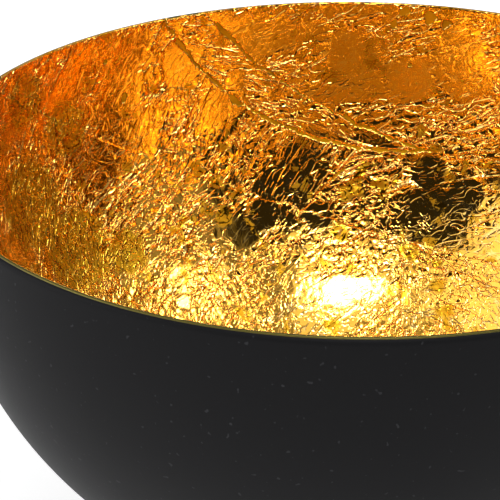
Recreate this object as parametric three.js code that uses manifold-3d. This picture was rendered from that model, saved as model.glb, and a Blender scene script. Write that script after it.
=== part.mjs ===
// Gilded metal bowl: a spun steel hemisphere with a flat foot, matt black on the outside, ochre
// gilding size on the inside, and sheets of imitation gold leaf laid on the size in two tiers
// round a bottom sheet, with narrow slits between them. Three felt pads are stuck under the foot.
// Millimetres, +Z up, origin on the table under the middle of the foot.
import * as THREE from "three";
import { mergeVertices } from "three/addons/utils/BufferGeometryUtils.js";
import Module from "manifold-3d";

const wasm = await Module();
wasm.setup();

// ---- Driving dimensions ----
const RIM_DIAMETER = 250; // outside of the steel at the rim
const RIM_RISE = 8; // the rim's height above the bowl's widest circle
const STEEL_THICKNESS = 0.8;
const FOOT_FLAT_DIAMETER = 76; // flat disc pressed into the bottom
const FOOT_FILLET = 10; // outside radius between the flat and the round wall
const OUTER_COAT = 0.12;
const INNER_COAT = 0.12;
const BOND_LINE = 0.02; // clearance between bonded layers
const LEAF_THICKNESS = 0.16; // envelope of a crinkled, lacquered sheet
const LEAF_SLIT = 1.2; // bare strip between neighbouring sheets
const PAD_DIAMETER = 14;
const PAD_THICKNESS = 1.6;
const PAD_COUNT = 3;
const PAD_INSET = 4; // from the edge of the flat to a pad's edge

// ---- How the leaf is laid ----
// Places on the wall are [azimuth, depth] in degrees: azimuth runs from +Y towards +X, and depth
// is the angle below the widest circle, seen from the sphere's centre. An edge is the plane
// through three places, and its sheet lies to the left of it as seen from inside the bowl. The
// sheets are laid in this order, each up to those before it.
const STRIP_TOP = [[-22.4, -2], [-5.6, 12.6], [20.7, 19.9]];
const STRIP_FOOT = [[-30.4, -2], [-14.4, 15], [12.7, 19.5]];
const STRIP_END = [[14, 24], [14, 14], [14, 4]];
const SLANT = [[-61.5, 0], [-19.2, 24.8], [28.5, 34.5]]; // runs below all the upper sheets
const CROSS = [[-15, 33], [-8, 26], [0, 19]];
const RIGHT_END = [[46, 34], [42, 15], [38, -4]];
const FAR_RIGHT = [[93, 34], [87, 15], [82, -4]];
const backwards = (edge) => [...edge].reverse();
const UPPER_SHEETS = [
  [STRIP_TOP, RIGHT_END],
  [STRIP_FOOT, STRIP_END],
  [backwards(RIGHT_END), SLANT, FAR_RIGHT],
  [backwards(FAR_RIGHT), SLANT],
  [SLANT, CROSS],
  [SLANT],
];
const LOWER_SEAMS = [-112, -53, 3, 62, 121, 184]; // azimuths at the rim
const LOWER_LEAN = [[0, -4], [4, 30], [13, 60]]; // of each lower seam from its azimuth
const BOTTOM_REACH = 30; // from straight down to the middle of the square bottom sheet's side
const BOTTOM_TURN = 21;

// ---- Fineness of the facets ----
const SEGMENTS = 48;
const WALL_STEPS = 10;
const FILLET_STEPS = 2;
const RIM_STEPS = 4;
const PAD_SEGMENTS = 24;

const radians = THREE.MathUtils.degToRad;
const degrees = THREE.MathUtils.radToDeg;

// ---- Places worked out from the dimensions ----
// Offsets are measured inwards from the steel's outer face.
const SPHERE_RADIUS = Math.hypot(RIM_DIAMETER / 2, RIM_RISE);
const FOOT_FLAT_RADIUS = FOOT_FLAT_DIAMETER / 2;
const STEEL_BOTTOM = PAD_THICKNESS + BOND_LINE + OUTER_COAT + BOND_LINE;
const FILLET_HEIGHT = STEEL_BOTTOM + FOOT_FILLET; // the fillet's own centre
const CENTRE_RISE = Math.sqrt((SPHERE_RADIUS - FOOT_FILLET) ** 2 - FOOT_FLAT_RADIUS ** 2);
const CENTRE = new THREE.Vector3(0, 0, FILLET_HEIGHT + CENTRE_RISE);
const FILLET_ANGLE = Math.atan2(FOOT_FLAT_RADIUS, CENTRE_RISE);
const RIM_ANGLE = Math.PI / 2 + Math.asin((RIM_RISE - STEEL_THICKNESS / 2) / SPHERE_RADIUS);
const RIM_MIDDLE = SPHERE_RADIUS - STEEL_THICKNESS / 2; // how far out the rounded edge's centre is
const SIZE_BACK = STEEL_THICKNESS + BOND_LINE;
const SIZE_FRONT = SIZE_BACK + INNER_COAT;
const LEAF_BACK = SIZE_FRONT + BOND_LINE;
const LEAF_FRONT = LEAF_BACK + LEAF_THICKNESS;
const EDGE_RADIUS = STEEL_THICKNESS / 2; // of the steel's rounded edge, which the skins follow
const CUTTER_SIZE = 4 * RIM_DIAMETER;

// ---- Finishes ----
const finish = (color, roughness, metalness) =>
  new THREE.MeshStandardMaterial({ color, roughness, metalness });
const STEEL = finish(0x8a8a88, 0.4, 1);
const MATT_BLACK = finish(0x1b1b1d, 0.6, 0);
const OCHRE_SIZE = finish(0x7a5a14, 0.45, 0);
const GOLD_LEAF = finish(0xd9a033, 0.25, 1);
const FELT = finish(0x1e1e1f, 0.95, 0);

// ---- Profiles, as [radius, height] points ----
// A point at an angle from straight down, on a circle about (middle, height).
const onArc = (middle, height, radius, angle) =>
  new THREE.Vector2(middle + radius * Math.sin(angle), height - radius * Math.cos(angle));

const arc = (middle, height, radius, from, to, steps) =>
  Array.from({ length: steps + 1 }, (_, i) =>
    onArc(middle, height, radius, from + ((to - from) * i) / steps));

// The bowl's line at an offset, from the axis outwards and up to the rounded edge.
function bowlLine(offset, top = RIM_ANGLE) {
  const fillet = FOOT_FILLET - offset;
  const foot = arc(FOOT_FLAT_RADIUS, FILLET_HEIGHT, fillet, 0, FILLET_ANGLE, FILLET_STEPS);
  const wall = arc(0, CENTRE.z, SPHERE_RADIUS - offset, FILLET_ANGLE, top, WALL_STEPS);
  return [new THREE.Vector2(0, STEEL_BOTTOM + offset), ...foot, ...wall.slice(1)];
}

// Part of the rim's rounded edge, at a radius from the middle of the steel's thickness.
function rimArc(radius, from, to, steps) {
  const middle = onArc(0, CENTRE.z, RIM_MIDDLE, RIM_ANGLE);
  return arc(middle.x, middle.y, radius, RIM_ANGLE + from, RIM_ANGLE + to, steps);
}

const OVER_RIM = Math.PI; // from the outer face, over the edge, to the inner face

function spin(profile, segments = SEGMENTS) {
  const geometry = new THREE.LatheGeometry(profile, segments);
  geometry.rotateX(Math.PI / 2);
  return geometry;
}

// ---- Solids that are cut ----
function toSolid(geometry) {
  const bare = geometry.clone();
  bare.deleteAttribute("normal");
  bare.deleteAttribute("uv");
  const merged = mergeVertices(bare, 1e-4);
  const corners = merged.index.array;
  const kept = [];
  for (let i = 0; i < corners.length; i += 3) {
    const [a, b, c] = corners.slice(i, i + 3);
    if (a !== b && b !== c && c !== a) kept.push(a, b, c);
  }
  const vertProperties = merged.attributes.position.array;
  return new wasm.Manifold(
    new wasm.Mesh({ numProp: 3, vertProperties, triVerts: new Uint32Array(kept) }));
}

function toGeometry(solid) {
  const { vertProperties, triVerts } = solid.getMesh();
  const geometry = new THREE.BufferGeometry();
  geometry.setAttribute("position", new THREE.BufferAttribute(vertProperties, 3));
  geometry.setIndex(new THREE.BufferAttribute(triVerts, 1));
  geometry.computeVertexNormals();
  return geometry;
}

function onWall([azimuth, depth]) {
  const [a, d] = [radians(azimuth), radians(depth)];
  const outwards = new THREE.Vector3(
    Math.cos(d) * Math.sin(a), Math.cos(d) * Math.cos(a), -Math.sin(d));
  return outwards.multiplyScalar(SPHERE_RADIUS).add(CENTRE);
}

// A block that fills the left side of an edge, and a margin beyond it.
function leftOf(edge, margin) {
  const [start, middle, end] = edge.map(onWall);
  const normal = end.sub(start).cross(middle.sub(start)).normalize();
  const block = new THREE.BoxGeometry(CUTTER_SIZE, CUTTER_SIZE, CUTTER_SIZE);
  const turn = new THREE.Quaternion().setFromUnitVectors(new THREE.Vector3(0, 0, 1), normal);
  const centre = normal.clone().multiplyScalar(CUTTER_SIZE / 2 - margin).add(start);
  block.applyMatrix4(new THREE.Matrix4().compose(centre, turn, new THREE.Vector3(1, 1, 1)));
  return toSolid(block);
}

const outline = (edges, margin = 0) =>
  edges.map((edge) => leftOf(edge, margin)).reduce((all, one) => all.intersect(one));

// ---- The bonded layers ----
function steelShell() {
  const edge = rimArc(EDGE_RADIUS, 0, OVER_RIM, RIM_STEPS).slice(1, -1);
  return spin([...bowlLine(0), ...edge, ...bowlLine(STEEL_THICKNESS).reverse()]);
}

function blackCoat() {
  const top = RIM_ANGLE - BOND_LINE / SPHERE_RADIUS;
  return spin([
    ...bowlLine(-BOND_LINE - OUTER_COAT, top),
    ...bowlLine(-BOND_LINE, top).reverse(),
  ]);
}

// The size covers the inside and goes over the rounded edge to meet the black coat.
function sizeCoat() {
  const back = EDGE_RADIUS + BOND_LINE;
  const edge = rimArc(back + INNER_COAT, 0, OVER_RIM, RIM_STEPS);
  const underEdge = rimArc(back, 0, OVER_RIM, RIM_STEPS);
  return spin([
    ...edge,
    ...bowlLine(SIZE_FRONT).reverse().slice(1),
    ...bowlLine(SIZE_BACK),
    ...underEdge.reverse().slice(1),
    edge[0],
  ]);
}

// ---- The gold leaf ----
// One continuous lining that hooks over the rim as far as its crown, to be cut into sheets.
function wholeLining() {
  const back = EDGE_RADIUS + BOND_LINE + INNER_COAT + BOND_LINE;
  const hook = (radius) => rimArc(radius, OVER_RIM / 2, OVER_RIM, RIM_STEPS / 2);
  return toSolid(spin([
    ...bowlLine(LEAF_BACK),
    ...hook(back).reverse().slice(1),
    ...hook(back + LEAF_THICKNESS),
    ...bowlLine(LEAF_FRONT).reverse().slice(1),
  ]));
}

function bottomEdges() {
  const cornerReach = degrees(Math.atan(Math.SQRT2 * Math.tan(radians(BOTTOM_REACH))));
  return [0, 90, 180, 270].map((quarter) => {
    const azimuth = BOTTOM_TURN + quarter;
    const corner = (turn) => [azimuth + turn, 90 - cornerReach];
    return [corner(45), [azimuth, 90 - BOTTOM_REACH], corner(-45)];
  });
}

// A lower seam, walked downwards.
const lowerSeam = (azimuth) => LOWER_LEAN.map(([along, depth]) => [azimuth + along, depth]);

// Every sheet's name and edges, in the order in which they are laid.
function sheetEdges() {
  const lower = LOWER_SEAMS.map((azimuth, i) => {
    const next = LOWER_SEAMS[(i + 1) % LOWER_SEAMS.length];
    return [`leaf_lower_${i + 1}`, [lowerSeam(azimuth), backwards(lowerSeam(next))]];
  });
  return [
    ["leaf_bottom", bottomEdges()],
    ...UPPER_SHEETS.map((edges, i) => [`leaf_upper_${i + 1}`, edges]),
    ...lower,
  ];
}

function leafSheets() {
  let bare = wholeLining();
  return sheetEdges().map(([name, edges]) => {
    const sheet = bare.intersect(outline(edges));
    bare = bare.subtract(outline(edges, LEAF_SLIT));
    return [name, sheet];
  });
}

// ---- Felt pads under the flat ----
function padPlaces() {
  const reach = FOOT_FLAT_RADIUS - PAD_INSET - PAD_DIAMETER / 2;
  return Array.from({ length: PAD_COUNT }, (_, i) => {
    const azimuth = (2 * Math.PI * i) / PAD_COUNT;
    return new THREE.Vector3(
      reach * Math.sin(azimuth), reach * Math.cos(azimuth), PAD_THICKNESS / 2);
  });
}

function feltPad() {
  const pad = new THREE.CylinderGeometry(
    PAD_DIAMETER / 2, PAD_DIAMETER / 2, PAD_THICKNESS, PAD_SEGMENTS);
  pad.rotateX(Math.PI / 2);
  return pad;
}

// ---- Assembly ----
const bowl = new THREE.Group();

function place(name, geometry, material, at = new THREE.Vector3()) {
  const mesh = new THREE.Mesh(geometry, material);
  mesh.name = name;
  mesh.position.copy(at);
  bowl.add(mesh);
}

place("steel_shell", steelShell(), STEEL);
place("black_outer_coat", blackCoat(), MATT_BLACK);
place("ochre_size_coat", sizeCoat(), OCHRE_SIZE);
for (const [name, sheet] of leafSheets()) place(name, toGeometry(sheet), GOLD_LEAF);
padPlaces().forEach((at, i) => place(`felt_pad_${i + 1}`, feltPad(), FELT, at));

export default bowl;
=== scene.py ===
"""A gilded metal bowl: spun steel, matt black outside, crinkled gold leaf on ochre size inside.

Laid out as an add-on with one operator for each group of pieces. Lengths are in metres, +Z up,
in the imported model's frame: the bowl stands on z = 0, and azimuth runs from +Y towards +X.
"""

import math

import bpy
from bpy.props import FloatProperty, FloatVectorProperty, IntProperty, PointerProperty
from mathutils import Matrix, Vector


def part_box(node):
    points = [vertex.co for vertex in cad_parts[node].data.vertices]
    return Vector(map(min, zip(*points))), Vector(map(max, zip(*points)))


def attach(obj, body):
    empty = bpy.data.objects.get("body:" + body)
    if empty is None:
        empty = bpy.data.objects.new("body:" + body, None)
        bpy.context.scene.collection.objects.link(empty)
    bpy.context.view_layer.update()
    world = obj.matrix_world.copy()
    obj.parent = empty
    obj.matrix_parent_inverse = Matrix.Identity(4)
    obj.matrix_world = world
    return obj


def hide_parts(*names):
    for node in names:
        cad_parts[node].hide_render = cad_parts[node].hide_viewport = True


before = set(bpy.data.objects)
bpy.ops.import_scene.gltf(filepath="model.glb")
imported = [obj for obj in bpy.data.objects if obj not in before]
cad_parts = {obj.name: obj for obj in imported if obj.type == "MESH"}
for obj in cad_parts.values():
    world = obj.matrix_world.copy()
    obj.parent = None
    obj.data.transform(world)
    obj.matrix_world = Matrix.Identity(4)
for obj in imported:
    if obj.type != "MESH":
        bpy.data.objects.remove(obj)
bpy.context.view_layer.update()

bl_info = {
    "name": "Gilded Bowl",
    "version": (1, 0, 0),
    "blender": (4, 5, 0),
    "location": "3D View > Sidebar > Gilded Bowl",
    "description": "Makes a matt black metal bowl lined with crinkled gold leaf",
    "category": "Object",
}

MM = 0.001
FACING_STEPS = 288  # facets round the bowl in the smooth layers
PAD_STEPS = 72
FLAT_STEPS, FILLET_STEPS, WALL_STEPS, EDGE_STEPS = 12, 8, 72, 12  # along a layer's profile
LEAF_STEPS, HOOK_STEPS = 400, 30  # along the leaf's line, up the wall and over the rim
WELD = 0.002 * MM
LEAST_ISLAND = 60.0  # a scrap of leaf with fewer points than this is left out
RAY_REACH = 5 * MM  # from a point on the line to the start of its ray, on either side
LEAF_NODES = sorted(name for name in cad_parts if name.startswith("leaf_"))
# How far these sheets reach over a gap, as a share of the cover that the others have
COVERS = {"leaf_upper_1": 1.05, "leaf_upper_2": 0.16, "leaf_upper_3": 0.1}
# Marks on the leaf as (azimuth, degrees below the widest circle, radius in millimetres)
BURNISHED = ((-21, 31, 7), (-16, 29, 6), (-12, 31, 4), (12, 22.5, 6.5), (19, 25, 7), (14, 27, 5),
             (-7, 30, 5), (24, 21, 5), (-1, 5, 9), (9, 9, 7), (-3, 41, 6), (-36, 40, 3),
             (-28, 4, 8), (1, 41, 4.5), (-36, 0, 6), (150, 20, 12), (-140, 35, 10))
DULLED = ((14, 33, 2.4), (15.5, 36, 2.6), (17, 39.5, 2.8), (19, 43.5, 2.8), (-24, 28.5, 3.6),
          (-27, 20.5, 2), (-24, 23, 2.8), (-20.5, 25, 2.2), (-1, 26, 3.6), (4, 25, 2.6))
TORN = ((-38, 7.2, 0.9), (11, -1.5, 1.8), (13.5, -1, 1.6), (5.5, -0.3, 1.2), (7, -2.8, 1.2),
        (-100, 12, 1.2), (140, 6, 1.5), (75, 40, 1), (-150, 52, 1.3))
HAZED = ((-50, 9, 9), (-58, 2, 9), (-61, 17, 15), (-54, 27, 14), (-72, 30, 15), (-66, 44, 14),
         (-44, 30, 8))
PAD_NODES = sorted(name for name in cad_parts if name.startswith("felt_pad_"))
LENS = 242.8  # millimetres, on a sensor 36 mm wide
CAMERA_RISE = 23.15  # degrees above the plane of the rim
CAMERA_REACH = 8  # rim radii from the middle of the rim
AIM = (-0.254, 0, -0.263)  # rim radii from the middle of the rim to the middle of the view


# ---- Sizes and looks that a user would change ----

def length(name, description, default):
    return FloatProperty(name=name, description=description, default=default, min=0,
                         subtype="DISTANCE", unit="LENGTH", precision=5)


def colour(name, description, default):
    return FloatVectorProperty(name=name, description=description, default=default, size=3,
                               min=0, max=1, subtype="COLOR")


class BowlSizes(bpy.types.PropertyGroup):
    rim_diameter: length("Rim Diameter", "Outside of the steel at the rim", 0.25)
    rim_rise: length("Rim Rise", "Height of the rim above the widest circle", 0.008)
    steel: length("Steel", "Thickness of the spun sheet", 0.0008)
    flat: length("Foot Flat", "Diameter of the flat pressed into the bottom", 0.076)
    fillet: length("Foot Fillet", "Radius between the flat and the wall", 0.01)
    black_coat: length("Black Coat", "Thickness of the powder coat", 0.00012)
    size_coat: length("Size Coat", "Thickness of the gilding size", 0.00012)
    bond: length("Bond Line", "Clearance between bonded layers", 0.00002)


class LeafLook(bpy.types.PropertyGroup):
    gold: colour("Gold", "Colour of the leaf where it is bright", (0.92, 0.475, 0.062))
    dull_gold: colour("Dull Gold", "Colour of the leaf where it is dull", (0.6, 0.29, 0.012))
    haze: colour("Haze", "Colour of the leaf where it is hazed", (0.56, 0.3, 0.012))
    # Painted highlight: this pale cream, mixed into the leaf's colour along the crests, stands in
    # for the white glints of the lacquer
    crest: colour("Crest", "Colour along the crests of the lines", (1.0, 0.74, 0.34))
    rubbed: colour("Rubbed", "Colour where the leaf is thin", (0.42, 0.2, 0.015))
    foil: length("Foil", "Least thickness of a sheet with its lacquer", 0.00006)
    crease: length("Crease Height", "Height of the larger creases", 0.00014)
    wrinkle: length("Wrinkle Height", "Height of the small wrinkles", 0.00004)
    swell: length("Swell", "Height of the slow waves in a sheet", 0.0005)
    tear: length("Tear", "How far an edge strays from its line", 0.0009)
    cover: length("Cover", "How far a sheet may reach over the gap beside it", 0.0016)
    fine: length("Fine Spacing", "Mesh spacing of the narrow sheets", 0.00045)
    coarse: length("Coarse Spacing", "Mesh spacing of the broad sheets", 0.00068)
    seed: IntProperty(name="Seed", description="Changes every wrinkle and tear", default=7)


class CoatLook(bpy.types.PropertyGroup):
    black: colour("Black", "Powder coat on the outside", (0.0072, 0.0072, 0.0077))
    # Partly painted shade: the lip's dull olive is its own colour, but its dark tone stands in for
    # the shade on the near rim
    ochre: colour("Ochre", "Gilding size under the leaf", (0.74, 0.37, 0.008))
    lip: colour("Lip", "Size rubbed along the top of the rim", (0.1, 0.085, 0.02))
    steel: colour("Steel", "Bare spun sheet", (0.46, 0.45, 0.43))
    felt: colour("Felt", "Pads under the foot", (0.012, 0.012, 0.013))
    fibres: FloatProperty(name="Fibres", description="Loose fibres to a square millimetre",
                          default=14.0)
    fibre_length: length("Fibre Length", "Longest loose fibre on a pad's cut edge", 0.0007)
    fibre_width: length("Fibre Width", "Width of a loose fibre at its root", 0.00004)


class StageLook(bpy.types.PropertyGroup):
    pale: FloatProperty(name="Surroundings", description="Brightness all round", default=0.5)
    dark: FloatProperty(name="Dark Side", description="Brightness low behind the camera",
                        default=0.03)
    overhead: FloatProperty(name="Overhead", description="Brightness of the large softbox",
                            default=0.92)
    hot: FloatProperty(name="Hot Spot", description="Brightness of the softbox's middle",
                       default=24.0)
    left: FloatProperty(name="Left", description="Brightness of the softbox on the left",
                        default=1.4)
    right: FloatProperty(name="Right", description="Brightness of the softbox on the right",
                         default=1.0)
    right_hot: FloatProperty(name="Right Hot Spot", description="Brightness of its middle",
                             default=10.5)
    floor: colour("Floor", "Plain pale floor", (0.9, 0.9, 0.9))
    glow: FloatProperty(name="Glow", description="Light coming up through the floor",
                        default=0.58)


class GildedBowl(bpy.types.PropertyGroup):
    sizes: PointerProperty(type=BowlSizes)
    leaf: PointerProperty(type=LeafLook)
    coats: PointerProperty(type=CoatLook)
    stage: PointerProperty(type=StageLook)


# ---- Node trees ----

class Number:
    """A number in a node tree. Arithmetic on it adds Math nodes to that tree."""

    def __init__(self, tree, socket):
        self.tree = tree
        self.socket = socket

    def maths(self, operation, *others):
        return self.tree.number(
            "ShaderNodeMath", {"operation": operation}, dict(enumerate((self, *others))))

    def __add__(self, other):
        return self.maths("ADD", other)

    def __sub__(self, other):
        return self.maths("SUBTRACT", other)

    def __rsub__(self, other):
        return self.maths("MULTIPLY_ADD", -1.0, other)

    def __mul__(self, other):
        return self.maths("MULTIPLY", other)

    def __truediv__(self, other):
        return self.maths("DIVIDE", other)

    def __abs__(self):
        return self.maths("ABSOLUTE")

    def __lt__(self, other):
        return self.maths("LESS_THAN", other)

    __radd__ = __add__
    __rmul__ = __mul__


class Tree:
    """Adds nodes to a shader or geometry tree, and gives their outputs back."""

    def __init__(self, tree):
        self.tree = tree

    def node(self, kind, settings=None, sockets=None):
        node = self.tree.nodes.new(kind)
        for name, value in (settings or {}).items():
            setattr(node, name, value)
        for name, value in (sockets or {}).items():
            if isinstance(value, Number):
                value = value.socket
            if isinstance(value, bpy.types.NodeSocket):
                self.tree.links.new(value, node.inputs[name])
            else:
                node.inputs[name].default_value = value
        return node

    def number(self, kind, settings=None, sockets=None, output=0):
        return Number(self, self.node(kind, settings, sockets).outputs[output])

    def vector(self, operation, *values):
        node = self.node("ShaderNodeVectorMath", {"operation": operation},
                         dict(enumerate(values)))
        return node.outputs[0]

    def scaled(self, vector, factor):
        node = self.node("ShaderNodeVectorMath", {"operation": "SCALE"},
                         {"Vector": vector, "Scale": factor})
        return node.outputs[0]

    def combined(self, x=0.0, y=0.0, z=0.0):
        return self.node("ShaderNodeCombineXYZ", None, {"X": x, "Y": y, "Z": z}).outputs[0]

    def split(self, vector):
        node = self.node("ShaderNodeSeparateXYZ", None, {0: vector})
        return [Number(self, output) for output in node.outputs]

    def step(self, value, low, high):
        """0 below low and 1 above high, with a smooth slope between."""
        return self.number("ShaderNodeMapRange", {"interpolation_type": "SMOOTHSTEP"},
                           {"Value": value, "From Min": low, "From Max": high})

    def noise_node(self, vector, detail=0.0, roughness=0.5):
        return self.node("ShaderNodeTexNoise", None,
                         {"Vector": vector, "Scale": 1.0, "Detail": detail,
                          "Roughness": roughness})

    def noise(self, vector, detail=0.0, roughness=0.5):
        return Number(self, self.noise_node(vector, detail, roughness).outputs[0])

    def noise_vector(self, vector, reach):
        """A random vector that strays up to about reach each way."""
        centred = self.vector("SUBTRACT", self.noise_node(vector).outputs[1], (0.5, 0.5, 0.5))
        return self.scaled(centred, 2 * reach)

    def mixed(self, factor, a, b):
        node = self.node("ShaderNodeMix", {"data_type": "RGBA"}, {0: factor, 6: a, 7: b})
        return node.outputs[2]

    def ridge(self, place, along, across, shift, width):
        """Narrow crests, one unit high: along and across are the spacings in metres."""
        spread = self.vector("MULTIPLY", place, (1 / along, 1 / across, 1.0))
        crossing = self.noise(self.vector("ADD", spread, (shift, -shift, shift)), 1.0, 0.4)
        return self.step(abs(crossing - 0.5) * -1.0, -width, 0.0)


def turned(tree, vector, angle):
    """A flat vector turned about Z by an angle in radians, which may be a socket."""
    node = tree.node("ShaderNodeVectorRotate", {"rotation_type": "Z_AXIS"},
                     {"Vector": vector, "Angle": angle})
    return node.outputs[0]


# ---- The bowl's line ----

class BowlLine:
    """Profiles as (radius, height) points. Offsets run inwards from the steel's outer face."""

    def __init__(self, sizes):
        self.sphere = math.hypot(sizes.rim_diameter / 2, sizes.rim_rise)
        self.flat = sizes.flat / 2
        self.fillet = sizes.fillet
        self.steel = sizes.steel
        self.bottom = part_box("steel_shell")[0].z
        self.fillet_height = self.bottom + sizes.fillet
        rise = math.sqrt((self.sphere - sizes.fillet) ** 2 - self.flat ** 2)
        self.centre = self.fillet_height + rise
        self.fillet_turn = math.atan2(self.flat, rise)
        self.rim_turn = math.pi / 2 + math.asin(
            (sizes.rim_rise - sizes.steel / 2) / self.sphere)
        self.size_back = sizes.steel + sizes.bond
        self.size_front = self.size_back + sizes.size_coat
        self.leaf_back = self.size_front + sizes.bond

    @staticmethod
    def arc(middle, height, radius, start, end, steps):
        turns = [start + (end - start) * i / steps for i in range(steps + 1)]
        return [(middle + radius * math.sin(t), height - radius * math.cos(t)) for t in turns]

    def wall(self, offset, steps=WALL_STEPS):
        """From the axis out along the flat, round the fillet and up to the rim."""
        fillet = self.arc(self.flat, self.fillet_height, self.fillet - offset, 0,
                          self.fillet_turn, FILLET_STEPS)
        round_wall = self.arc(0, self.centre, self.sphere - offset, self.fillet_turn,
                              self.rim_turn, steps)
        flat = [(self.flat * i / FLAT_STEPS, self.bottom + offset) for i in range(FLAT_STEPS)]
        return flat + fillet + round_wall[1:]

    def edge(self, proud, start=0.0, end=math.pi, steps=EDGE_STEPS):
        """Round the rim's edge, proud of the steel's rounding, from its outer face inwards."""
        turn = self.rim_turn
        reach = self.sphere - self.steel / 2
        return self.arc(reach * math.sin(turn), self.centre - reach * math.cos(turn),
                        self.steel / 2 + proud, turn + start, turn + end, steps)


def spun(name, profile, closed=False, steps=FACING_STEPS):
    """A surface spun about the Z axis. A profile starts and ends on the axis, or is closed."""
    vertices = []
    rings = []
    for radius, height in profile:
        if radius < 1e-9:
            rings.append([len(vertices)] * steps)
            vertices.append((0, 0, height))
            continue
        rings.append(list(range(len(vertices), len(vertices) + steps)))
        for i in range(steps):
            turn = 2 * math.pi * i / steps
            vertices.append((radius * math.cos(turn), radius * math.sin(turn), height))
    faces = []
    last = len(rings) if closed else len(rings) - 1
    for k in range(last):
        low, high = rings[k], rings[(k + 1) % len(rings)]
        for i in range(steps):
            j = (i + 1) % steps
            corners = list(dict.fromkeys((low[i], low[j], high[j], high[i])))
            if len(corners) > 2:
                faces.append(corners)
    mesh = bpy.data.meshes.new(name)
    mesh.from_pydata(vertices, [], faces)
    mesh.shade_smooth()
    mesh.validate()
    piece = bpy.data.objects.new(name, mesh)
    bpy.context.scene.collection.objects.link(piece)
    return piece


def settle(piece, node, material=None):
    """Hands a finished piece to the frame: it rides on the bowl and stands for its node."""
    if material:
        piece.data.materials.clear()
        piece.data.materials.append(material)
    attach(piece, "root")
    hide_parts(node)


# ---- Materials ----

def new_material(name):
    material = bpy.data.materials.new(name)
    material.use_nodes = True
    material.node_tree.nodes.clear()
    return material, Tree(material.node_tree)


def surface(tree, settings):
    shader = tree.node("ShaderNodeBsdfPrincipled", None, settings)
    tree.node("ShaderNodeOutputMaterial", None, {"Surface": shader.outputs[0]})


def bump(tree, height):
    """A bump whose height is in metres."""
    return tree.node("ShaderNodeBump", None,
                     {"Strength": 1.0, "Distance": 1.0, "Height": height}).outputs[0]


def object_place(tree):
    return tree.node("ShaderNodeTexCoord").outputs["Object"]


def black_powder_coat(look):
    material, tree = new_material("black_powder_coat")
    place = object_place(tree)
    peel = tree.noise(tree.scaled(place, 900.0), 2.0)
    cloud = tree.noise(tree.scaled(place, 18.0), 3.0)
    specks = tree.step(tree.noise(tree.scaled(place, 700.0)), 0.78, 0.84)
    black = tuple(look.black) + (1.0,)
    dust = tuple(3.0 * c for c in look.black) + (1.0,)
    surface(tree, {
        "Base Color": tree.mixed(specks, black, dust),
        "Roughness": 0.46 + 0.1 * cloud,
        "IOR": 1.3,
        "Specular IOR Level": 0.11,
        "Normal": bump(tree, peel * (0.012 * MM)),
    })
    return material


def ochre_size(look):
    """Bronze-coloured size, with a dull olive lip round the top of the rim, painted dark to stand
    in for the shade on the near rim.
    """
    material, tree = new_material("ochre_size")
    place = object_place(tree)
    height = tree.split(place)[2]
    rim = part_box("steel_shell")[1].z
    cloud = tree.noise(tree.scaled(place, 160.0), 4.0, 0.6)
    brushed = tree.noise(tree.vector("MULTIPLY", place, (500.0, 500.0, 1800.0)), 2.0)
    # The lip band is the size's own dull olive, painted dark as shade for the near rim
    lip = tree.step(height + (cloud - 0.5) * (0.6 * MM), rim - 0.7 * MM, rim - 0.3 * MM)
    light = tuple(look.ochre) + (1.0,)
    dark = tuple(0.7 * c for c in look.ochre) + (1.0,)
    inside = tree.mixed(tree.step(cloud, 0.35, 0.7), light, dark)
    surface(tree, {
        "Base Color": tree.mixed(lip, inside, tuple(look.lip) + (1.0,)),
        "Metallic": 0.85,
        "Roughness": 0.5 + 0.12 * cloud - 0.15 * lip,
        "Specular IOR Level": 0.1,
        "Normal": bump(tree, brushed * (0.03 * MM)),
    })
    return material


def bare_steel(look):
    material, tree = new_material("spun_steel")
    place = object_place(tree)
    lines = tree.noise(tree.vector("MULTIPLY", place, (40.0, 40.0, 2600.0)), 2.0)
    surface(tree, {
        "Base Color": tuple(look.steel) + (1.0,),
        "Metallic": 1.0,
        "Roughness": 0.3 + 0.15 * lines,
        "Normal": bump(tree, lines * (0.006 * MM)),
    })
    return material


def pressed_felt(look):
    material, tree = new_material("pressed_felt")
    place = object_place(tree)
    fibres = tree.noise(tree.scaled(place, 2200.0), 4.0, 0.7)
    tufts = tree.noise(tree.scaled(place, 420.0), 2.0)
    dark = tuple(look.felt) + (1.0,)
    light = tuple(3.2 * c for c in look.felt) + (1.0,)
    surface(tree, {
        "Base Color": tree.mixed(tree.step(fibres, 0.35, 0.75), dark, light),
        "Roughness": 0.95,
        "Sheen Weight": 0.35,
        "Sheen Roughness": 0.5,
        "Specular IOR Level": 0.1,
        "Normal": bump(tree, fibres * (0.05 * MM) + tufts * (0.12 * MM)),
    })
    return material


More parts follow.
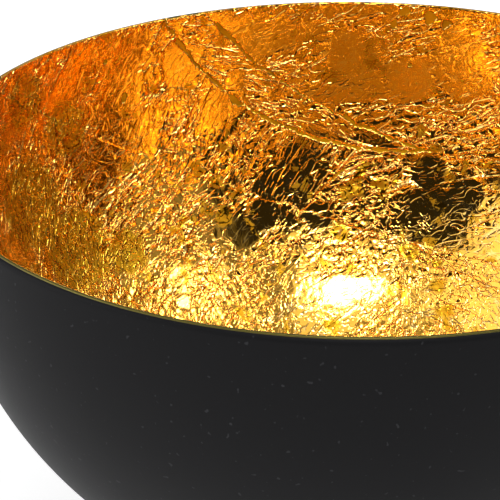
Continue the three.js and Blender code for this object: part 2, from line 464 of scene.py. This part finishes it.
def gold_leaf(look):
    """Lacquered leaf. Its patterns follow the sheet by the attributes that the leaf tree stores."""
    material, tree = new_material("gold_leaf")
    place = tree.node("ShaderNodeAttribute", {"attribute_name": "leaf_place"}).outputs["Vector"]
    wrinkled, dulled, hazed = (
        tree.number("ShaderNodeAttribute", {"attribute_name": attribute}, None, "Fac")
        for attribute in ("wrinkled", "dulled", "hazed"))
    warped = tree.vector("ADD", place, tree.noise_vector(tree.scaled(place, 1 / 0.006), 0.0016))
    across = turned(tree, warped, 1.1)
    # Lines pressed into the foil: long straight ones, loose wires and two ways of short worms
    far_apart = tree.step(tree.noise(tree.scaled(place, 1 / 0.012), 1.0), 0.39, 0.49)
    one_way = tree.step(tree.noise(tree.scaled(place, 1 / 0.006), 1.0), 0.44, 0.5)
    some = tree.step(tree.noise(tree.scaled(place, 1 / 0.009), 1.0), 0.42, 0.5)
    streaks = tree.ridge(place, 0.035, 0.006, 6.6, 0.028) * some
    wires = tree.ridge(warped, 0.0065, 0.0026, 3.1, 0.045) * far_apart
    worms = tree.ridge(warped, 0.003, 0.0017, 5.3, 0.055) * one_way
    strays = tree.ridge(across, 0.0026, 0.0016, 8.7, 0.055) * (1 - one_way)
    specks = tree.ridge(warped, 0.0019, 0.0013, 4.4, 0.05) * hazed
    short = (worms + strays) * (1 - 0.7 * far_apart) * (1 - 0.5 * hazed) + specks
    lines = wires * 0.19 + short * 0.15 + streaks * 0.3
    facets = tree.noise(tree.scaled(warped, 1 / 0.0022)) * 0.27
    grain = tree.noise(tree.scaled(place, 1 / 0.0005), 2.0)
    slow = tree.noise(tree.scaled(place, 1 / 0.016), 3.0, 0.6)
    dull = tree.step(tree.noise(tree.scaled(warped, 1 / 0.009), 5.0, 0.6), 0.56, 0.64).maths(
        "MAXIMUM", dulled)
    rubbed = tree.step(tree.noise(tree.scaled(warped, 1 / 0.0045), 4.0, 0.65), 0.68, 0.72)
    height = ((lines * (1 - 0.7 * dull) + facets) * (0.06 + 0.94 * wrinkled)
              + dull * 0.02 + grain * 0.005) * MM
    matt = dull.maths("MAXIMUM", 0.8 * hazed)
    bright = tree.mixed(hazed, tuple(look.gold) + (1.0,), tuple(look.haze) + (1.0,))
    sound = tree.mixed(dull, bright, tuple(look.dull_gold) + (1.0,))
    crests = (wires + short + streaks).maths("MINIMUM", 1.0)
    on_line = tree.step(crests, 0.02, 0.25)
    # Painted highlight: pale cream mixed in along the crests of the lines stands in for the
    # lacquer's white glints
    painted_crest_highlight = tree.mixed(crests * (1 - matt) * 0.4, sound, tuple(look.crest) + (1.0,))
    surface(tree, {
        "Base Color": tree.mixed(rubbed, painted_crest_highlight, tuple(look.rubbed) + (1.0,)),
        "Metallic": 1 - 0.7 * rubbed,
        "Roughness": 0.05 + 0.05 * slow + 0.34 * matt * (1 - on_line) + 0.1 * rubbed,
        "Normal": bump(tree, height),
    })
    return material


# ---- Geometry trees ----

def new_group(name, floats, others):
    """A geometry tree with its named inputs, and the identifier of each."""
    group = bpy.data.node_groups.new(name, "GeometryNodeTree")
    kinds = {"Geometry": "Geometry", **dict.fromkeys(floats, "Float"), **others,
             "Seed": "Int", "Material": "Material"}
    identifiers = {}
    for label, kind in kinds.items():
        socket = group.interface.new_socket(
            label, in_out="INPUT", socket_type="NodeSocket" + kind)
        identifiers[label] = socket.identifier
    group.interface.new_socket("Geometry", in_out="OUTPUT", socket_type="NodeSocketGeometry")
    tree = Tree(group)
    return group, tree, tree.node("NodeGroupInput").outputs, identifiers


def joined(tree, *geometries):
    both = tree.node("GeometryNodeJoinGeometry")
    for geometry in geometries:
        tree.tree.links.new(geometry, both.inputs[0])
    return both.outputs[0]


def finished(tree, geometry, material):
    """Makes the instances real and paints everything."""
    real = tree.node("GeometryNodeRealizeInstances", None, {"Geometry": geometry})
    painted = tree.node("GeometryNodeSetMaterial", None,
                        {"Geometry": real.outputs[0], "Material": material})
    tree.node("NodeGroupOutput", None, {"Geometry": painted.outputs[0]})


def fuzz_tree():
    """Stands short fibres all round the cut edge of a pad."""
    group, tree, inputs, identifiers = new_group(
        "cut_felt_fuzz", ("Fibres", "Fibre Length", "Fibre Width"), {})
    facing = tree.node("GeometryNodeInputNormal").outputs[0]
    on_edge = abs(tree.split(facing)[2]) < 0.1
    points = tree.node("GeometryNodeDistributePointsOnFaces", None, {
        "Mesh": inputs["Geometry"], "Selection": on_edge, "Density": inputs["Fibres"],
        "Seed": inputs["Seed"]})
    fibre = tree.node("GeometryNodeMeshCone", None, {
        "Vertices": 3, "Radius Top": 0.0, "Radius Bottom": inputs["Fibre Width"],
        "Depth": inputs["Fibre Length"]})
    stray = tree.node("FunctionNodeRandomValue", {"data_type": "FLOAT_VECTOR"},
                      {0: (-0.8, -0.8, -0.25), 1: (0.8, 0.8, 0.25), "Seed": inputs["Seed"]})
    leaning = tree.vector("ADD", points.outputs["Normal"], stray.outputs[0])
    turn = tree.node("FunctionNodeAlignRotationToVector", {"axis": "Z"}, {"Vector": leaning})
    long = tree.node("FunctionNodeRandomValue", {"data_type": "FLOAT"},
                     {2: 0.4, 3: 1.0, "Seed": inputs["Seed"]})
    fibres = tree.node("GeometryNodeInstanceOnPoints", None, {
        "Points": points.outputs["Points"], "Instance": fibre.outputs["Mesh"],
        "Rotation": turn.outputs[0], "Scale": long.outputs[1]})
    finished(tree, joined(tree, inputs["Geometry"], fibres.outputs[0]), inputs["Material"])
    return group, identifiers


def line_place(line, azimuth, depth):
    """A place on the wall, from its azimuth and its angle below the widest circle."""
    reach = line.sphere - line.leaf_back
    turn, drop = math.radians(azimuth), math.radians(depth)
    flat = reach * math.cos(drop)
    return (flat * math.sin(turn), flat * math.cos(turn), line.centre - reach * math.sin(drop))


def leaf_tree(name, line, polar):
    """Lays one crinkled sheet on the bowl's line, inside the outline of its solid.

    A wall sheet's grid runs along the azimuth and up the line. A polar one is a flat square
    over the bowl's bottom. Both store leaf_place, wrinkled, dulled and hazed for the material.
    """
    group, tree, inputs, identifiers = new_group(
        name, ("Width", "Height", "Middle Along", "Middle Up", "Spacing", "Wall Radius", "Drag",
               "Foil", "Crease", "Rim", "Wrinkle", "Swell", "Tear", "Cover"),
        {"Sheet": "Object", "Line": "Object"})

    def given(label):
        return Number(tree, inputs[label])

    width, height, spacing = given("Width"), given("Height"), given("Spacing")
    grid = tree.node("GeometryNodeMeshGrid", None, {
        "Size X": width, "Size Y": height,
        "Vertices X": width / spacing + 2, "Vertices Y": height / spacing + 2})
    jitter = tree.node("FunctionNodeRandomValue", {"data_type": "FLOAT_VECTOR"},
                       {0: (-0.3, -0.3, 0.0), 1: (0.3, 0.3, 0.0), "Seed": given("Seed")})
    flat = tree.vector("ADD", tree.node("GeometryNodeInputPosition").outputs[0],
                       tree.scaled(jitter.outputs[0], spacing))
    x, y, _ = tree.split(flat)
    along, up = x + given("Middle Along"), y + given("Middle Up")
    if polar:
        reach = (along * along + up * up).maths("SQRT")
        azimuth = along.maths("ARCTAN2", up)
    else:
        reach = up
        azimuth = along / given("Wall Radius")

    # The place and inward normal on the bowl's line
    curve = tree.node("GeometryNodeObjectInfo", None, {"Object": inputs["Line"]})
    sampled = tree.node("GeometryNodeSampleCurve", {"mode": "LENGTH"},
                        {"Curves": curve.outputs["Geometry"], "Length": reach})
    radius, _, level = tree.split(sampled.outputs["Position"])
    outward, _, rising = tree.split(sampled.outputs["Tangent"])
    sine, cosine = azimuth.maths("SINE"), azimuth.maths("COSINE")
    place = tree.combined(radius * sine, radius * cosine, level)
    inward = -1.0 * rising
    normal = tree.combined(inward * sine, inward * cosine, outward)

    # The sheet's own coordinates, turned to the way it was dragged
    seed = given("Seed") * 17.31
    own = tree.vector("ADD", turned(tree, tree.combined(along, up), given("Drag")),
                      tree.combined(0.0, 0.0, seed))
    metres = tree.vector("MULTIPLY", own, (1.0, 1.0, 0.0))

    def coordinates(spacing_along, spacing_across, shift):
        spread = tree.vector("MULTIPLY", own, (1 / spacing_along, 1 / spacing_across, 1.0))
        return tree.vector("ADD", spread, (shift, shift, shift))

    def crest(spacing_along, spacing_across, shift, warp, spread, width_share):
        stray = tree.noise_vector(coordinates(warp, warp, shift + 5.0), spread)
        moved = tree.vector("ADD", own, stray)
        return tree.ridge(moved, spacing_along, spacing_across, shift, width_share)

    def marked(marks):
        """1 inside any of the marks, which have ragged outlines."""
        moved = tree.vector("ADD", place, tree.noise_vector(coordinates(0.004, 0.004, 12.0),
                                                            0.0022))
        inside = 0.0
        for azimuth_there, depth, reach_there in marks:
            middle = line_place(line, azimuth_there, depth)
            away = tree.number("ShaderNodeVectorMath", {"operation": "DISTANCE"},
                               {0: moved, 1: middle}, "Value")
            inside = (1 - tree.step(away, 0.8 * reach_there * MM,
                                    1.2 * reach_there * MM)).maths("MAXIMUM", inside)
        return inside

    calm = tree.step(tree.noise(coordinates(0.03, 0.022, 1.7), 2.0), 0.4, 0.56)
    creased = tree.step(tree.noise(coordinates(0.014, 0.01, 6.1)), 0.38, 0.6)
    creases = crest(0.016, 0.0055, 2.3, 0.02, 0.006, 0.06) * (0.35 + 0.65 * creased)
    wrinkles = crest(0.006, 0.0026, 9.4, 0.008, 0.0024, 0.15)
    swell = tree.noise(coordinates(0.02, 0.012, 4.2), 2.0, 0.4) - 0.25
    wrinkled = (0.15 + 0.85 * calm) * (1 - 0.9 * marked(BURNISHED))
    settled = tree.step(given("Rim") - reach, 0.5 * MM, 6 * MM)
    lift = (given("Swell") * swell + (given("Crease") * creases
            + given("Wrinkle") * wrinkles) * wrinkled) * settled

    # The outline, from the solid, with torn edges and a few gaps
    stray = tree.vector(
        "ADD", tree.noise_vector(coordinates(0.004, 0.004, 3.3), given("Tear")),
        tree.noise_vector(coordinates(0.0012, 0.0012, 7.9), given("Tear") * 0.35))
    sheet = tree.node("GeometryNodeObjectInfo", None, {"Object": inputs["Sheet"]})
    start = tree.vector("ADD", tree.vector("ADD", place, stray), tree.scaled(normal, RAY_REACH))
    ray = tree.node("GeometryNodeRaycast", None, {
        "Target Geometry": sheet.outputs["Geometry"], "Source Position": start,
        "Ray Direction": tree.scaled(normal, -1.0), "Ray Length": 2 * RAY_REACH})
    near = tree.number("GeometryNodeProximity", {"target_element": "FACES"},
                       {"Geometry": sheet.outputs["Geometry"],
                        "Sample Position": tree.vector("ADD", place, stray)}, "Distance")
    reaching = tree.step(tree.noise(coordinates(0.014, 0.014, 2.9), 1.0), 0.2, 0.48)
    found = Number(tree, ray.outputs["Is Hit"]).maths(
        "MAXIMUM", near < given("Cover") * reaching)
    whole = 1 - tree.step(tree.noise(coordinates(0.007, 0.005, 11.0), 3.0, 0.6), 0.745, 0.75)
    gone = found * whole * (1 - marked(TORN)) < 0.5

    stored = grid.outputs["Mesh"]
    for attribute, kind, value in (
            ("leaf_place", "FLOAT_VECTOR", tree.vector("ADD", metres, tree.combined(seed * 0.1))),
            ("wrinkled", "FLOAT", wrinkled), ("dulled", "FLOAT", marked(DULLED)),
            ("hazed", "FLOAT", marked(HAZED)), ("inward", "FLOAT_VECTOR", normal),
            ("gone", "BOOLEAN", gone)):
        stored = tree.node("GeometryNodeStoreNamedAttribute", {"data_type": kind},
                           {"Geometry": stored, "Name": attribute, "Value": value}).outputs[0]
    laid = tree.node("GeometryNodeSetPosition", None, {
        "Geometry": stored, "Position": tree.vector("ADD", place, tree.scaled(normal, lift))})
    is_gone = tree.node("GeometryNodeInputNamedAttribute", {"data_type": "BOOLEAN"},
                        {"Name": "gone"}).outputs["Attribute"]
    torn = tree.node("GeometryNodeDeleteGeometry", {"domain": "POINT"},
                     {"Geometry": laid.outputs[0], "Selection": is_gone})
    island = tree.node("GeometryNodeInputMeshIsland").outputs["Island Index"]
    members = tree.number("GeometryNodeAccumulateField", None,
                          {"Value": 1.0, "Group ID": island}, "Total")
    kept = tree.node("GeometryNodeDeleteGeometry", {"domain": "POINT"},
                     {"Geometry": torn.outputs[0], "Selection": members < LEAST_ISLAND})

    # A closed foil: the front is pushed inwards off the back by its thickness
    raised = tree.node("GeometryNodeExtrudeMesh", {"mode": "FACES"},
                       {"Mesh": kept.outputs[0], "Offset Scale": 0.0, "Individual": False})
    inward_there = tree.node("GeometryNodeInputNamedAttribute", {"data_type": "FLOAT_VECTOR"},
                             {"Name": "inward"}).outputs["Attribute"]
    front = tree.node("GeometryNodeSetPosition", None,
                      {"Geometry": raised.outputs["Mesh"], "Selection": raised.outputs["Top"],
                       "Offset": tree.scaled(inward_there, given("Foil"))})
    back = tree.node("GeometryNodeFlipFaces", None, {"Mesh": kept.outputs[0]})
    welded = tree.node("GeometryNodeMergeByDistance", None, {
        "Geometry": joined(tree, front.outputs[0], back.outputs[0]), "Distance": WELD})
    smooth = tree.node("GeometryNodeSetShadeSmooth", None, {"Geometry": welded.outputs[0]})
    finished(tree, smooth.outputs[0], inputs["Material"])
    return group, identifiers


def worked(piece, group, identifiers, values):
    """Runs a geometry tree on a mesh object, which keeps the result as its plain mesh."""
    name = piece.name
    modifier = piece.modifiers.new(name, "NODES")
    modifier.node_group = group
    for label, value in values.items():
        modifier[identifiers[label]] = value
    evaluated = piece.evaluated_get(bpy.context.evaluated_depsgraph_get())
    mesh = bpy.data.meshes.new_from_object(evaluated)
    piece.modifiers.remove(modifier)
    piece.data = mesh
    if not mesh.polygons:
        raise RuntimeError(f"{name} came out empty")
    return piece


def empty_piece(name):
    piece = bpy.data.objects.new(name, bpy.data.meshes.new(name))
    bpy.context.scene.collection.objects.link(piece)
    return piece


def line_object(name, points):
    """A curve in the XZ plane through (radius, height) points."""
    curve = bpy.data.curves.new(name, "CURVE")
    curve.dimensions = "3D"
    spline = curve.splines.new("POLY")
    spline.points.add(len(points) - 1)
    for point, (radius, height) in zip(spline.points, points):
        point.co = (radius, 0, height, 1)
    line = bpy.data.objects.new(name, curve)
    bpy.context.scene.collection.objects.link(line)
    return line


def line_length(points):
    return sum(math.dist(a, b) for a, b in zip(points, points[1:]))


def sheet_extent(node, line, foot_length, rim_length, margin):
    """The azimuths and lengths up the bowl's line that a wall sheet's solid covers."""
    corners = [v.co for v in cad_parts[node].data.vertices]
    middle = sum((Vector((c.x, c.y)) for c in corners), Vector((0, 0)))
    facing = math.atan2(middle.x, middle.y)
    turns = []
    ups = []
    for c in corners:
        turn = math.atan2(c.x, c.y) - facing
        turns.append((turn + math.pi) % (2 * math.pi) - math.pi)
        slope = math.atan2(math.hypot(c.x, c.y), line.centre - c.z)
        ups.append(foot_length + (slope - line.fillet_turn) * (line.sphere - line.leaf_back))
    at_rim = max(c.z for c in corners) > line.centre + 0.9 * (
        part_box("steel_shell")[1].z - line.centre)
    top = rim_length if at_rim else max(ups) + margin
    return facing, min(turns), max(turns), min(ups) - margin, top


def node_seed(look, node):
    return look.seed + LEAF_NODES.index(node)


# ---- Operators ----

class GILDEDBOWL_OT_layers(bpy.types.Operator):
    """Make the steel shell, the black powder coat and the gilding size"""

    bl_idname = "gilded_bowl.layers"
    bl_label = "Shell and Coats"

    def execute(self, context):
        bowl = context.scene.gilded_bowl
        sizes = bowl.sizes
        line = BowlLine(sizes)
        steel = spun("spun_steel_shell", line.wall(0) + line.edge(0)[1:-1]
                     + line.wall(line.steel)[::-1])
        settle(steel, "steel_shell", bare_steel(bowl.coats))
        outside = -sizes.bond - sizes.black_coat
        coat = spun("black_powder_coat", line.wall(outside) + line.wall(-sizes.bond)[::-1])
        settle(coat, "black_outer_coat", black_powder_coat(bowl.coats))
        over = line.edge(sizes.bond + sizes.size_coat)
        under = line.edge(sizes.bond)[::-1]
        inside = line.wall(line.size_front)[::-1][1:]
        size = spun("ochre_gilding_size",
                    over + inside + line.wall(line.size_back)[:-1] + under, closed=True)
        settle(size, "ochre_size_coat", ochre_size(bowl.coats))
        return {"FINISHED"}


class GILDEDBOWL_OT_leaf(bpy.types.Operator):
    """Lay the crinkled gold leaf, sheet by sheet, on the gilding size"""

    bl_idname = "gilded_bowl.leaf"
    bl_label = "Gold Leaf"

    def execute(self, context):
        bowl = context.scene.gilded_bowl
        look = bowl.leaf
        line = BowlLine(bowl.sizes)
        wall = line.wall(line.leaf_back, LEAF_STEPS)
        proud = line.leaf_back - line.steel
        hook = line.edge(proud, math.pi, 0.55 * math.pi, HOOK_STEPS)
        points = wall + hook[1:]
        curve = line_object("leaf_line", points)
        foot_length = line_length(points[:FLAT_STEPS + FILLET_STEPS])
        values = {"Line": curve, "Wall Radius": line.sphere - line.leaf_back,
                  "Foil": look.foil, "Crease": look.crease, "Wrinkle": look.wrinkle,
                  "Swell": look.swell, "Tear": look.tear, "Rim": line_length(wall),
                  "Material": gold_leaf(look)}
        wall_group, wall_ids = leaf_tree("wall_leaf", line, polar=False)
        bottom_group, bottom_ids = leaf_tree("bottom_leaf", line, polar=True)
        for node in LEAF_NODES:
            seed = node_seed(look, node)
            values.update({"Sheet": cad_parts[node], "Seed": seed,
                           "Drag": math.radians(37.0 * seed % 180),
                           "Cover": look.cover * COVERS.get(node, 1.0)})
            margin = 2 * look.tear
            if node == "leaf_bottom":
                low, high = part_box(node)
                side = 1.12 * (high.x - low.x)
                values.update({"Width": side, "Height": side, "Middle Along": 0.0,
                               "Middle Up": 0.0, "Spacing": look.coarse})
                piece = worked(empty_piece("gold_" + node), bottom_group, bottom_ids, values)
            else:
                facing, left, right, low, top = sheet_extent(
                    node, line, foot_length, line_length(points), margin)
                radius = values["Wall Radius"]
                values.update({
                    "Width": (right - left) * radius + 2 * margin, "Height": top - low,
                    "Middle Along": (facing + (left + right) / 2) * radius,
                    "Middle Up": (top + low) / 2,
                    "Spacing": look.fine if "upper" in node else look.coarse})
                piece = worked(empty_piece("gold_" + node), wall_group, wall_ids, values)
            settle(piece, node)
        bpy.data.objects.remove(curve)
        return {"FINISHED"}


class GILDEDBOWL_OT_pads(bpy.types.Operator):
    """Make the felt pads under the foot"""

    bl_idname = "gilded_bowl.pads"
    bl_label = "Felt Pads"

    def execute(self, context):
        look = context.scene.gilded_bowl.coats
        felt = pressed_felt(look)
        group, identifiers = fuzz_tree()
        for seed, node in enumerate(PAD_NODES):
            low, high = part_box(node)
            middle = (low + high) / 2
            radius = (high.x - low.x) / 2
            rounding = 0.25 * (high.z - low.z)
            lower = BowlLine.arc(radius - rounding, low.z + rounding, rounding, 0,
                                 math.pi / 2, 5)
            upper = BowlLine.arc(radius - rounding, high.z - rounding, rounding,
                                 math.pi / 2, math.pi, 5)
            profile = [(0.0, low.z), *lower, *upper, (0.0, high.z)]
            pad = spun("soft_" + node, profile, steps=PAD_STEPS)
            pad.data.transform(Matrix.Translation((middle.x, middle.y, 0)))
            worked(pad, group, identifiers, {
                "Fibres": look.fibres * 1e6, "Fibre Length": look.fibre_length,
                "Fibre Width": look.fibre_width / 2, "Seed": seed, "Material": felt})
            settle(pad, node)
        return {"FINISHED"}


class GILDEDBOWL_OT_stage(bpy.types.Operator):
    """Set up the floor, the surroundings, the softboxes and the camera"""

    bl_idname = "gilded_bowl.stage"
    bl_label = "Studio"

    def execute(self, context):
        look = context.scene.gilded_bowl.stage
        context.scene.view_settings.view_transform = "Standard"
        make_floor(look)
        make_surroundings(context.scene, look)
        rim = Vector((0, 0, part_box("steel_shell")[1].z))
        softbox("overhead_softbox", rim, 177, 59, 1.6, (1.0, 0.9), look.overhead)
        softbox("hot_softbox", rim, 176, 58, 1.5, (0.48, 0.3), look.hot)
        softbox("left_softbox", rim, 247, 40, 1.6, (1.1, 1.2), look.left)
        softbox("low_left_softbox", rim, 261, 14, 1.5, (0.75, 0.6), 4.2 * look.left)
        softbox("right_softbox", rim, 104, 45, 1.6, (0.8, 0.6), look.right)
        softbox("right_hot_softbox", rim, 102, 43, 1.5, (0.46, 0.28), look.right_hot)
        make_camera(context.scene, rim)
        return {"FINISHED"}


# ---- Stage ----

def make_floor(look):
    material, tree = new_material("pale_floor")
    surface(tree, {"Base Color": tuple(look.floor) + (1.0,), "Roughness": 0.8,
                   "Specular IOR Level": 0.1, "Emission Color": (1.0, 1.0, 1.0, 1.0),
                   "Emission Strength": look.glow})
    half = 6.0
    mesh = bpy.data.meshes.new("floor")
    mesh.from_pydata([(-half, -half, 0), (half, -half, 0), (half, half, 0), (-half, half, 0)],
                     [], [(0, 1, 2, 3)])
    mesh.materials.append(material)
    floor = bpy.data.objects.new("floor", mesh)
    bpy.context.scene.collection.objects.link(floor)


def direction(azimuth, elevation):
    """The way to a place in the sky, from two angles in degrees."""
    a, e = math.radians(azimuth), math.radians(elevation)
    return Vector((math.cos(e) * math.sin(a), math.cos(e) * math.cos(a), math.sin(e)))


def make_surroundings(scene, look):
    """A pale room, darker low down on the side where the camera stands."""
    world = bpy.data.worlds.new("studio")
    scene.world = world
    world.use_nodes = True
    world.node_tree.nodes.clear()
    tree = Tree(world.node_tree)
    towards = tree.node("ShaderNodeTexCoord").outputs["Generated"]
    x, y, z = tree.split(towards)
    turn = abs((x * -1.0).maths("ARCTAN2", y * -1.0) - math.radians(1.0))
    rise = z.maths("ARCSINE")
    inside = (1 - tree.step(turn, math.radians(42.0), math.radians(54.0))) * (
        1 - tree.step(rise, math.radians(50.0), math.radians(70.0)))
    higher = 0.35 * tree.step(rise, math.radians(38.0), math.radians(46.0))
    pale = look.pale * (0.72 + 0.42 * tree.step(y, -0.6, 0.6))
    shade = pale * (1 - inside) + (look.dark + higher) * inside
    seen = tree.node("ShaderNodeLightPath").outputs["Is Camera Ray"]
    strength = tree.node("ShaderNodeMix", None, {0: seen, 2: shade, 3: 1.0}).outputs[0]
    background = tree.node("ShaderNodeBackground", None, {"Strength": strength})
    tree.node("ShaderNodeOutputWorld", None, {"Surface": background.outputs[0]})


def softbox(name, target, azimuth, elevation, distance, size, radiance):
    """An area lamp facing its target. Its size and distance are in metres."""
    lamp = bpy.data.lights.new(name, "AREA")
    lamp.shape = "RECTANGLE"
    lamp.size, lamp.size_y = size
    lamp.energy = radiance * math.pi * size[0] * size[1]
    box = bpy.data.objects.new(name, lamp)
    towards = direction(azimuth, elevation)
    box.location = target + distance * towards
    box.rotation_euler = towards.to_track_quat("Z", "Y").to_euler()
    bpy.context.scene.collection.objects.link(box)


def make_camera(scene, rim):
    radius = scene.gilded_bowl.sizes.rim_diameter / 2
    camera = bpy.data.cameras.new("camera")
    camera.lens = LENS
    camera.sensor_width = 36.0
    camera.clip_end = 50.0
    holder = bpy.data.objects.new("camera", camera)
    holder.location = rim + CAMERA_REACH * radius * direction(180, CAMERA_RISE)
    aim = rim + radius * Vector(AIM)
    holder.rotation_euler = (aim - holder.location).to_track_quat("-Z", "Y").to_euler()
    scene.collection.objects.link(holder)
    scene.camera = holder


# ---- Panel and registration ----

OPERATORS = (GILDEDBOWL_OT_layers, GILDEDBOWL_OT_leaf, GILDEDBOWL_OT_pads, GILDEDBOWL_OT_stage)


class GILDEDBOWL_PT_sidebar(bpy.types.Panel):
    """The bowl's operators, sizes and looks"""

    bl_idname = "GILDEDBOWL_PT_sidebar"
    bl_label = "Gilded Bowl"
    bl_space_type = "VIEW_3D"
    bl_region_type = "UI"
    bl_category = "Gilded Bowl"

    def draw(self, context):
        bowl = context.scene.gilded_bowl
        for operator in OPERATORS:
            self.layout.operator(operator.bl_idname)
        for group in (bowl.sizes, bowl.leaf, bowl.coats, bowl.stage):
            box = self.layout.box()
            for name in group.__annotations__:
                box.prop(group, name)


CLASSES = (BowlSizes, LeafLook, CoatLook, StageLook, GildedBowl, *OPERATORS,
           GILDEDBOWL_PT_sidebar)


def register():
    for cls in CLASSES:
        bpy.utils.register_class(cls)
    bpy.types.Scene.gilded_bowl = PointerProperty(type=GildedBowl)


def unregister():
    del bpy.types.Scene.gilded_bowl
    for cls in reversed(CLASSES):
        bpy.utils.unregister_class(cls)


def main():
    register()
    bpy.ops.gilded_bowl.layers()
    bpy.ops.gilded_bowl.leaf()
    bpy.ops.gilded_bowl.pads()
    bpy.ops.gilded_bowl.stage()


if __name__ == "__main__":
    main()
